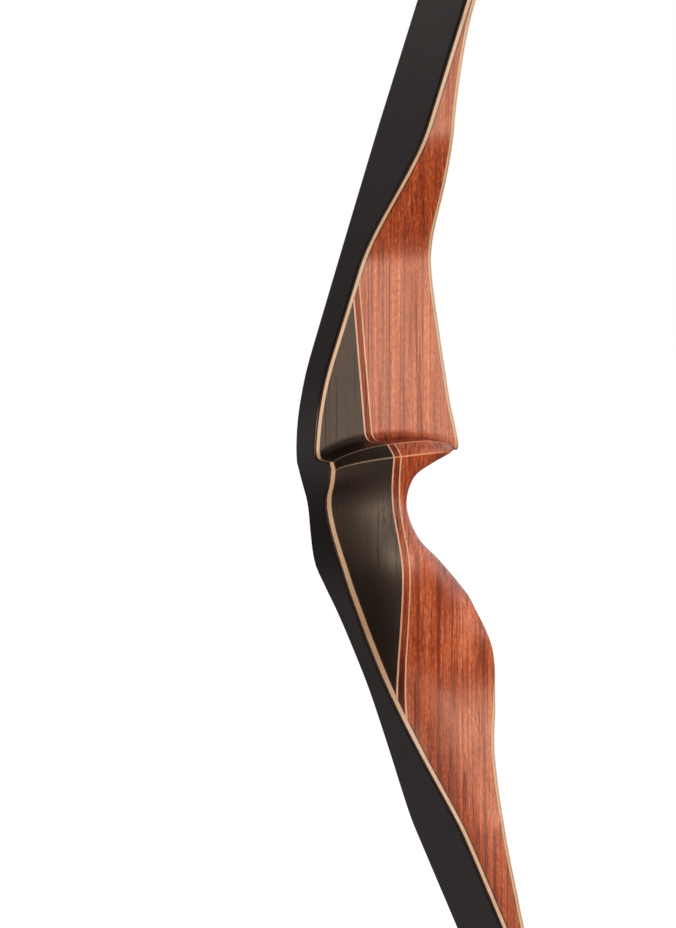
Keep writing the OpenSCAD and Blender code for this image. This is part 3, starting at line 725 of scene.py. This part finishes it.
def fibreglass(name, dark, light, cloudy, tint=(1, 1, 1, 1), browned=None):
    """Fibreglass facing: fine fibres along the limb under a satin coat."""
    n = Material(name, Specular_IOR_Level=0.5, Specular_Tint=tint)
    along = n.along()
    fibres = n.cloud(along, (22, 1500, 1), 3.0, 0.6)
    cloud = n.cloud(along, (9, 30, 1), 2.0)
    colour = n.mix(n.ramp(fibres, 0.35, 0.75), dark, light)
    colour = n.mix(n.ramp(cloud, 0.3, 0.75, 0.0, 0.4), colour, cloudy)
    satin = n.group(SATIN, Vector=n.place(), Roughness=0.4, Spread=0.1)
    uneven = n.plus(satin["Roughness"], n.ramp(fibres, 0.4, 0.7, -0.03, 0.05))
    # The facing's side is drawn a darker brown, with a duller finish.
    if browned:
        side = n.group(EDGE_SHEEN, Width=0.55)["Edge"]
        colour = n.mix(side, colour, browned)
        uneven = n.plus(uneven, n.times(side, 0.4))
    return n.finish(colour, uneven, n.plus(n.times(satin["Ripple"], 0.3), n.times(fibres, 0.5)), 0.15)


def thread(name, dark, light, roughness):
    """Waxed thread, darker and lighter from turn to turn."""
    n = Material(name, Specular_IOR_Level=0.4)
    place = n.place()
    turns = n.cloud(place, (700, 700, 1600), 2.0)
    wax = n.cloud(place, (160, 160, 60), 3.0)
    colour = n.mix(n.ramp(turns, 0.35, 0.7), dark, light)
    colour = n.mix(n.ramp(wax, 0.55, 0.8, 0.0, 0.3), colour, (92, 86, 78))
    return n.finish(colour, n.ramp(wax, 0.3, 0.7, roughness - 0.08, roughness + 0.08), turns, 0.3, 0.00005)


def make_brass():
    n = Material("nock brass", Metallic=1.0)
    place = n.place()
    rub = n.cloud(place, (500, 500, 2600), 3.0)
    stain = n.cloud(place, (260, 260, 260), 3.0)
    colour = n.mix(n.ramp(stain, 0.35, 0.7), (206, 168, 96), (176, 134, 70))
    return n.finish(colour, n.ramp(rub, 0.3, 0.75, 0.26, 0.44), rub, 0.2, 0.00005)


limb_maple = lamination_maple("limb maple", (203, 167, 135), (191, 154, 120), (165, 128, 93))
black_glass = fibreglass("black glass", (18, 12, 11), (34, 25, 24), (40, 30, 28),
                         tint=(1.0, 0.68, 0.64, 1.0), browned=(20, 9, 4))
clear_glass = fibreglass("clear glass", (186, 146, 112), (214, 176, 140), (204, 169, 137))
string_fibre = thread("string fibre", (34, 31, 29), (58, 53, 49), 0.55)
serving_thread = thread("serving thread", (14, 14, 14), (30, 29, 28), 0.45)
nock_brass = make_brass()


# the riser; a distance kept on the mesh is FAR where no edge is near
FAR = 9.0


def edge_gap(s):
    """Distance from the nearer edge of the shelf's bevel, in millimetres."""
    below = abs(s - CREASE_Z)
    above = SHELF_Z - s if s <= SHELF_Z else SHELF_W * cut(s)
    return min(FAR, below, above)


def riser_piece(name, sections, *looks):
    """A solid through (height, near side, rest of the ring, whether it lies on the back core) sections."""
    rings, depths, edges = [], [], []
    for s, near, rest, on_core in sections:
        ring = near + rest
        rings.append(ring)
        depths.append([max(0.0, p[0] - ring[0][0]) if on_core else FAR for p in ring])
        # the distance from the bevel's edges, along which a painted highlight is drawn
        edges.append([edge_gap(s)] * len(near) + [FAR] * len(rest))
    loft(name, rings, *looks, {"depth": depths, "edge": edges})


def layer_sides(a, b, s, shares):
    points = [a] + [at(a[0] + (b[0] - a[0]) * share, s) for share in shares[1:-1]] + [b]
    return [[(x, side(x, s), z) for x, z in points] for side in (near_y, far_y)]


def riser_layer(name, p, q, steps, *looks):
    """A layer between the planes p and q, or from the back core where p is none or has run out."""
    sections = []
    for s in [s for s in STATIONS if not run_out(q, s, -EPS)]:
        on_core = p is None or run_out(p, s, EPS)
        near, far = layer_sides(start_pt(p, s, on_core), plane_pt(q, s), s, spaced(0, 1, steps))
        sections.append((s, near, far[::-1], on_core))
    riser_piece(name, sections, *looks)


# laminations from tip to tip
def face_row(a, b):
    """Points across a flat face, between two corner points, with one close to each corner."""
    shares = [0.012, 0.17, 0.34, 0.5, 0.66, 0.83, 0.988]
    return [tuple(a[k] + (b[k] - a[k]) * share for k in range(3)) for share in shares]


def depth_shares(radius, thickness):
    """Shares of a layer's thickness, close together where its outer corners are rounded."""
    if not radius:
        return [0, 0.5, 1]
    share = min(0.9, radius / abs(thickness))
    return [0] + [1 - share + share * sin(radians(15 * i)) for i in range(7)]


def lam_ring(near, far, radius):
    """A ring from a lamination's two sides, with its outer corners eased."""
    if radius:
        near, far = eased(near, radius, -1), eased(far, radius, 1)
    return near + face_row(near[-1], far[-1]) + far[::-1]


def back_lam_ring(s, inner, outer, radius):
    shares = depth_shares(radius, outer - inner)
    return lam_ring(*layer_sides(back_pt(s, inner), back_pt(s, outer), s, shares), radius)


def limb_lam_rows(inner, outer, up, radius):
    """Rings of a lamination on a limb, each with its distance along the bow, in order up the bow."""
    rows = []
    for t in LIMB_STATIONS:
        a, b, w = inner(t), outer(t), Limb.half(t)
        depths = [a + (b - a) * share for share in depth_shares(radius, b - a)]
        sides = [[Limb.place(t, d, y, up) for d in depths] for y in (-w, w)]
        rows.append((up * (LIMB_Z + t), lam_ring(*sides, radius)))
    return rows if up > 0 else rows[::-1]


def lam_depths(rings, radius):
    """How far a point lies from a bare lamination's nearer glued face, or from a facing's sawn side."""
    if radius:
        side = [0.0, 0.0, 0.18, 0.37, 0.55, FAR, FAR, FAR]
        return {"edge": [side + [FAR] * (len(ring) - 16) + side[::-1] for ring in rings]}
    depths = []
    for ring in rings:
        side = [0.0, dist(ring[0], ring[2]) / 2, 0.0]
        depths.append(side + [0.0] * (len(ring) - 6) + side)
    return {"depth": depths}


def lam_piece(name, rows, radius, *looks):
    alongs, rings = zip(*rows)
    loft(name, rings, *looks, lam_depths(rings, radius), alongs)


REACH = ([MID_Z - LIMB_Z, (MID_Z - LIMB_Z - RISER_DOWN) / 2] + STATIONS
         + [(MID_Z + LIMB_Z + RISER_UP) / 2, MID_Z + LIMB_Z])


def tip_to_tip(name, inner, outer, limb_inner, limb_outer, radius, *looks):
    rows = limb_lam_rows(limb_inner, limb_outer, -1, radius)
    rows += [(s, back_lam_ring(s, inner, outer, radius)) for s in REACH]
    rows += limb_lam_rows(limb_inner, limb_outer, 1, radius)
    if outer < inner:
        rows = [(along, ring[::-1]) for along, ring in rows]
    lam_piece(name, rows, radius, *looks)


def lam_x(s, d):
    if s > RISER_UP + EPS or s < -RISER_DOWN - EPS:
        return core_x(s) + d / cos(LEAN)
    share = 1.0 if s > 0 else clamp((FEATHER_Z - s) / FEATHER_LEN)
    return belly_x(s) + d * share / cos(belly_lean(s))


def belly_lam_ring(s, inner, outer, radius):
    x0 = lam_x(s, 0)
    near_edge = near_y(x0, s) if s < 0 or s >= COVE_TOP else crest_y(s) * (1 - cut(s))
    column = [at(lam_x(s, inner + (outer - inner) * share), s)
              for share in depth_shares(radius, outer - inner)]
    sides = [[(x, y, z) for x, z in column] for y in (near_edge, far_y(x0, s))]
    return lam_ring(*sides, min(radius, 0.9 * abs(lam_x(s, outer) - lam_x(s, inner))))


def belly_layer(name, inner, outer, limb_inner, limb_outer, up, radius, *looks):
    reach = [s for s in REACH if (s > SHELF_Z - EPS if up > 0 else s < FEATHER_Z + EPS)]
    rows = [(s, belly_lam_ring(s, inner, outer, radius)) for s in reach]
    limb = limb_lam_rows(limb_inner, limb_outer, up, radius)
    lam_piece(name, rows + limb if up > 0 else limb + rows, radius, *looks)


def tip_layer(name, inner, outer, up, crowned, *looks):
    """An overlay on the back of a tip, feathered towards the riser and crowned across."""
    rings, alongs = [], []
    for t in [t for t in LIMB_STATIONS if t > OVERLAY_FROM - EPS]:
        k, w = clamp((t - OVERLAY_FROM) / OVERLAY_FEATHER), Limb.half(t)
        low, high = -BACK_GLASS - inner * k, -BACK_GLASS - outer * k
        crown = (high - low) * OVERLAY_CROWN if crowned else 0
        outline = [(y, high - abs(y / w) ** 3 * crown) for y in spaced(-w, w, 12)] + [(w, low), (-w, low)]
        ring = [Limb.place(t, d, y, up) for y, d in outline]
        rings.append(ring[::-1] if up > 0 else ring)
        alongs.append(t)
    loft(name, rings, *looks, alongs=alongs)


riser_piece("riser_block", [(s, main_half(s, True), main_half(s, False)[-2::-1], run_out(PLANE[3], s))
                            for s in STATIONS], red_wood, "red_wood", "riser_main_block")
riser_layer("riser_belly_veneer", PLANE[2], PLANE[3], 2, veneer_wood, "riser_maple", "riser_inner_veneer")
riser_layer("riser_red_strip", PLANE[1], PLANE[2], 4, strip_wood, "red_wood", "riser_centre_strip")
riser_layer("riser_back_veneer", PLANE[0], PLANE[1], 2, veneer_wood, "riser_maple", "riser_outer_veneer")
riser_layer("riser_dark_block", None, PLANE[0], 16, dark_wood, "dark_wood", "riser_back_block")
tip_to_tip("back_facing", 0, -BACK_GLASS, lambda t: 0, lambda t: -BACK_GLASS, 1.0, black_glass,
           "black_glass", "back_glass")
tip_to_tip("back_lamination", 0, BACK_CORE, lambda t: 0, Limb.core_d, 0, limb_maple, "limb_maple",
           "back_core")
for up, word in ((1, "upper"), (-1, "lower")):
    belly_layer(word + "_belly_lamination", 0, BELLY_CORE, Limb.core_d, Limb.belly_core_d, up, 0, limb_maple,
                "limb_maple", word + "_belly_core")
    belly_layer(word + "_belly_facing", BELLY_CORE, BELLY_CORE + BELLY_GLASS, Limb.belly_core_d,
                lambda t: Limb.belly_core_d(t) + BELLY_GLASS, up, 0.5, clear_glass, "clear_glass",
                word + "_belly_glass")
    tip_layer(word + "_tip_line", 0, TIP_VENEER, up, False, limb_maple, "limb_maple", word + "_tip_veneer")
    tip_layer(word + "_tip_cap", TIP_VENEER, TIP_VENEER + OVERLAY, up, True, tip_wood, "tip_wood",
              word + "_tip_overlay")


# the string, wound by one node tree
def make_winding():
    """Geometry nodes: threads that wind round a path at a radius and a pitch."""
    tree = bpy.data.node_groups.new("wound threads", "GeometryNodeTree")
    for kind, titles in (("Geometry", ["Path"]), ("Int", ["Threads", "Sides"]), ("Material", ["Material"]),
                         ("Float", ["Spacing", "Pitch", "Winding radius", "Thread radius"])):
        for title in titles:
            tree.interface.new_socket(title, in_out="INPUT", socket_type="NodeSocket" + kind)
    tree.interface.new_socket("Mesh", in_out="OUTPUT", socket_type="NodeSocketGeometry")
    n = Nodes(tree)
    start, end = tree.nodes.new("NodeGroupInput").outputs, tree.nodes.new("NodeGroupOutput")
    even = n.add("GeometryNodeResampleCurve", {"Curve": start["Path"], "Length": start["Spacing"]},
                 mode="LENGTH")
    copies = n.add("GeometryNodeDuplicateElements", {"Geometry": even[0], "Amount": start["Threads"]},
                   domain="SPLINE")
    length = n.add("GeometryNodeSplineParameter")["Length"]
    begun = n.over(copies["Duplicate Index"], start["Threads"])
    angle = n.times(n.plus(n.over(length, start["Pitch"]), begun), 2 * pi)
    normal = n.add("GeometryNodeInputNormal")[0]
    side = n.vector("CROSS_PRODUCT", n.add("GeometryNodeInputTangent")[0], normal)
    out = n.vector("ADD", n.vector("SCALE", normal, n.calc("COSINE", angle)),
                   n.vector("SCALE", side, n.calc("SINE", angle)))
    moved = n.add("GeometryNodeSetPosition", {"Geometry": copies[0],
                                              "Offset": n.vector("SCALE", out, start["Winding radius"])})
    section = n.add("GeometryNodeCurvePrimitiveCircle", {"Resolution": start["Sides"],
                                                         "Radius": start["Thread radius"]})
    mesh = n.add("GeometryNodeCurveToMesh", {"Curve": moved[0], "Fill Caps": True,
                                             "Profile Curve": section[0]})
    real = n.add("GeometryNodeRealizeInstances", {"Geometry": mesh[0]})
    coloured = n.add("GeometryNodeSetMaterial", {"Geometry": real[0], "Material": start["Material"]})
    n.join(coloured[0], end.inputs[0])
    return tree


WINDING = make_winding()
# sizes in millimetres, but for CORE_PITCH, which is in metres and only has to be long
TURN_SAMPLES, CORE_PITCH, LOOP_PITCH, LOOP_THREAD, LOOP_LEN = 12, 1.0, 0.46, 0.23, 30.0
STRANDS, STRAND_AT, STRAND_R, STRING_CORE_R = 9, 1.06, 0.43, 0.85
LOOP_R, NECK_R, CENTRE_R, CENTRE_PITCH, SERVING_UNDER = 0.98, 1.66, 1.68, 0.5, 20.0
RING_T, RING_HALF, RING_UP, RING_GAP = 1.3, 2.5, 3.0, 14


def wind(path, material, **sizes):
    """A mesh of threads wound round a path, a list of (x, y, z) in millimetres."""
    curve = bpy.data.curves.new("path", "CURVE")
    curve.dimensions = "3D"
    spline = curve.splines.new("POLY")
    spline.points.add(len(path) - 1)
    for point, place in zip(spline.points, path):
        point.co = tuple(c * MM for c in place) + (1.0,)
    holder = new_object("path", curve)
    modifier = holder.modifiers.new("winding", "NODES")
    modifier.node_group = WINDING
    for item in WINDING.interface.items_tree:
        key = item.name.replace(" ", "_")
        if key in sizes:
            modifier[item.identifier] = sizes[key]
        elif key == "Material":
            modifier[item.identifier] = material
    depsgraph = bpy.context.evaluated_depsgraph_get()
    mesh = bpy.data.meshes.new_from_object(holder.evaluated_get(depsgraph), depsgraph=depsgraph)
    bpy.data.objects.remove(holder)
    mesh.shade_smooth()
    return mesh


def core(path, material, radius, spacing, sides):
    """A plain round core along a path, with its radius in millimetres and its spacing in metres."""
    return wind(path, material, Spacing=spacing, Pitch=CORE_PITCH, Winding_radius=0.0,
                Thread_radius=radius * MM, Threads=1, Sides=sides)


def serve(path, radius, thread_radius, pitch, sides):
    """One serving thread wound turn by turn, with its sizes in millimetres."""
    return wind(path, serving_thread, Spacing=pitch * MM / TURN_SAMPLES, Pitch=pitch * MM,
                Winding_radius=radius * MM, Thread_radius=thread_radius * MM, Threads=1, Sides=sides)


def join_meshes(name, meshes, node):
    parts = [new_object(name, mesh) for mesh in meshes]
    piece = parts[0]
    with bpy.context.temp_override(active_object=piece, object=piece, selected_objects=parts,
                                   selected_editable_objects=parts):
        bpy.ops.object.join()
    piece.data.name = name
    settle(piece, node)


THROAT_T = Limb.nock - LOOP_LEN


def on_belly(t, clear, y=0.0, up=1):
    return Limb.place(t, Limb.stack + clear, y, up)


def bowstring():
    """Strands twisted round a core, from one loop's throat to the other along both recurves."""
    lower, upper = [[on_belly(t, Limb.clear, up=up) for t in spaced(Limb.contact, THROAT_T, 40)]
                    for up in (-1, 1)]
    middle = [(BRACE, 0, z) for z in spaced(lower[0][2], upper[0][2], 60)[1:-1]]
    path = lower[::-1] + middle + upper
    strands = wind(path, string_fibre, Spacing=0.004, Pitch=0.052, Winding_radius=STRAND_AT * MM,
                   Thread_radius=STRAND_R * MM, Threads=STRANDS, Sides=6)
    meshes = [strands, core(path, string_fibre, STRING_CORE_R, 0.02, 8)]
    join_meshes("bowstring_strands", meshes, "bowstring")


def loop_path(side, up):
    """Half of an end loop, from the string's middle round the groove to the middle of the back."""
    edge, cap = NOCK_W / 2 - NOCK_CUT, Limb.stack + BACK_GLASS + TIP_VENEER + OVERLAY
    marks = [(0.5 - LOOP_LEN, 0, Limb.clear), (-22, 1.6, Limb.clear), (-13, edge - 1.6, Limb.clear),
             (-6.5, edge + 0.6, 1.45), (-3, edge + 1.9, 1.4), (-1.1, edge + 2.1, -0.1),
             (-0.3, edge + 1.6, -2.2), (0, edge + 1.45, 1.6 - cap), (0.1, edge + 1.1, -cap - 0.9),
             (0.2, edge - 1.6, -cap - 1.4), (0.2, 0, -cap - 1.4)]
    lines = [Line([(i, m[k]) for i, m in enumerate(marks)]) for k in range(3)]
    steps = [i / 8 for i in range((len(marks) - 1) * 8 + 1)]
    return [on_belly(Limb.nock + lines[0](i), lines[2](i), side * lines[1](i), up) for i in steps]


def end_loop(word, up):
    whole = loop_path(-1, up) + loop_path(1, up)[-2::-1]
    neck = [on_belly(t, Limb.clear, up=up) for t in spaced(THROAT_T - LOOP_SERVING, THROAT_T + 1.5, 40)]
    meshes = [core(whole, serving_thread, LOOP_R, 0.0008, 10),
              serve(whole, LOOP_R - 0.01, LOOP_THREAD, LOOP_PITCH, 4),
              core(neck, serving_thread, NECK_R, 0.002, 16),
              serve(neck, NECK_R, LOOP_THREAD, LOOP_PITCH, 4)]
    join_meshes(word + "_string_loop", meshes, word + "_loop_serving")


def centre_winding():
    middle = NOCKING_Z - SERVING_UNDER
    path = [(BRACE, 0, z) for z in (middle - SERVING_LEN / 2, middle, middle + SERVING_LEN / 2)]
    meshes = [core(path, serving_thread, CENTRE_R, 0.01, 16),
              serve(path, CENTRE_R - 0.03, CENTRE_PITCH / 2, CENTRE_PITCH, 5)]
    join_meshes("centre_winding", meshes, "centre_serving")


def crimped_ring():
    """The brass nock set: a thick open ring with rounded lips, crimped on the serving."""
    inner, profile = STRING_R + SERVING, []
    for corner, (side, end, radius) in enumerate([(1, 1, 0.25), (-1, 1, 0.5), (-1, -1, 0.5), (1, -1, 0.25)]):
        face = inner if side > 0 else inner + RING_T
        for k in range(5):
            a = radians(180 - 90 * corner - 22.5 * k)
            profile.append((face + side * radius + radius * cos(a),
                            end * (RING_HALF - radius) + radius * sin(a)))
    rings = []
    for i in range(49):
        a = radians(RING_GAP / 2 + (360 - RING_GAP) * i / 48)
        squeeze = 0.96 if i in (0, 48) else 1.0
        rings.append([(BRACE - r * cos(a), r * sin(a), NOCKING_Z + RING_UP + h * squeeze)
                      for r, h in reversed(profile)])
    loft("nock_ring", rings, nock_brass, "nock_brass", "nock_set")


bowstring()
end_loop("upper", 1)
end_loop("lower", -1)
centre_winding()
crimped_ring()


# studio
AMBIENT = 0.11


def make_floor():
    """Pale to the camera and whiter further away, with a faint glow behind the bow for its reflections."""
    mesh = bpy.data.meshes.new("floor")
    z = cad_box[0][2]
    mesh.from_pydata([(-9, -9, z), (9, -9, z), (9, 9, z), (-9, 9, z)], [], [(0, 1, 2, 3)])
    n = Material("pale floor", Base_Color=(0.13, 0.13, 0.13, 1), Roughness=0.8, Specular_IOR_Level=0.1,
                 Emission_Color=(1, 1, 1, 1))
    place, (seen, reflected) = n.place(), n.rays()
    pale = n.ramp(n.vector("LENGTH", place), 0.9, 2.6, 0.86, 1.0)
    glow = n.plus(n.ramp(n.vector("DISTANCE", place, (-0.33, 0.95, z)), 0.3, 1.1, 0.2, 0.0), 0.05)
    n.join(n.plus(n.times(seen, pale), n.times(reflected, glow)), n.shader.inputs["Emission Strength"])
    mesh.materials.append(n.made)
    new_object("floor", mesh)


def make_world():
    """White to the camera, and to reflections a dim room with a few soft pale walls."""
    world = bpy.data.worlds.new("studio")
    scene.world = world
    world.use_nodes = True
    n = Nodes(world.node_tree)
    background = world.node_tree.nodes["Background"]
    seen, reflected = n.rays()
    way = n.add("ShaderNodeTexCoord")["Generated"]
    room = 0.05
    for toward, start, bright in (((0.5426, 0.8355, 0.0872), 0.4, 0.7), ((0.93, 0.35, 0.0), 0.45, 0.9),
                                  ((-0.54, 0.84, -0.05), 0.93, 0.9), ((0.55, 0.15, 0.8), 0.55, 0.75),
                                  ((0.93, -0.3, 0.2), 0.8, 2.0)):
        facing = n.vector("DOT_PRODUCT", way, toward)
        room = n.calc("MAXIMUM", room, n.ramp(facing, start, 1.0, 0.05, bright))
    strength = n.plus(n.times(reflected, n.minus(room, AMBIENT)), AMBIENT)
    n.join(n.calc("MAXIMUM", strength, seen), background.inputs["Strength"])
    background.inputs["Color"].default_value = (1, 1, 1, 1)


def add_light(name, place, target, size, size_y, watts, colour):
    light = bpy.data.lights.new(name, "AREA")
    light.shape = "RECTANGLE"
    light.size, light.size_y, light.energy, light.color = size, size_y, watts, colour
    lamp = new_object(name, light)
    lamp.location = place
    lamp.rotation_euler = (Vector(target) - Vector(place)).to_track_quat("-Z", "Y").to_euler()


def make_camera():
    """The photo's view, in which the target shows at the pixel (shown_x, shown_y)."""
    azimuth, elevation, roll = (radians(angle) for angle in (-33, 5, 2.4))
    distance, pixel, width, height = 2.2, 0.0005, 676, 928
    target, shown_x, shown_y = Vector((0.005, 0, 0)), 404, 503
    right = Vector((cos(azimuth), sin(azimuth), 0))
    ahead = Vector((-sin(azimuth) * cos(elevation), cos(azimuth) * cos(elevation), -sin(elevation)))
    upward = right.cross(ahead)
    du, dv = (width / 2 - shown_x) * pixel, (shown_y - height / 2) * pixel
    c, q = cos(roll), sin(roll)
    data = bpy.data.cameras.new("camera")
    data.sensor_width, data.sensor_fit = 36, "AUTO"
    data.lens = 36 * distance / (height * pixel)
    data.clip_start, data.clip_end = 0.05, 60
    camera = new_object("camera", data)
    matrix = Matrix((right * c - upward * q, right * q + upward * c, -ahead)).transposed().to_4x4()
    matrix.translation = target + right * (du * c + dv * q) + upward * (-du * q + dv * c) - ahead * distance
    camera.matrix_world = matrix
    scene.camera = camera


make_floor()
make_world()
make_camera()
add_light("key", (1.35, -1.95, 0.75), (0, 0, 0.02), 1.2, 0.8, 11, (1.0, 0.94, 0.86))
add_light("sheen", (1.32, -2.02, -0.08), (0, 0, 0), 1.3, 0.45, 18, (1.0, 0.94, 0.86))
add_light("front", (0.15, -2.4, 0.0), (0, 0, 0), 0.9, 0.8, 40, (1.0, 0.94, 0.87))
add_light("strip", (-2.1, -1.25, 0.05), (0, 0, 0), 0.35, 1.3, 5, (1.0, 0.95, 0.9))
add_light("far side", (0.35, 2.0, 1.4), (0, 0, 0), 1.0, 1.0, 18, (1.0, 0.96, 0.92))
scene.view_settings.view_transform = "Standard"
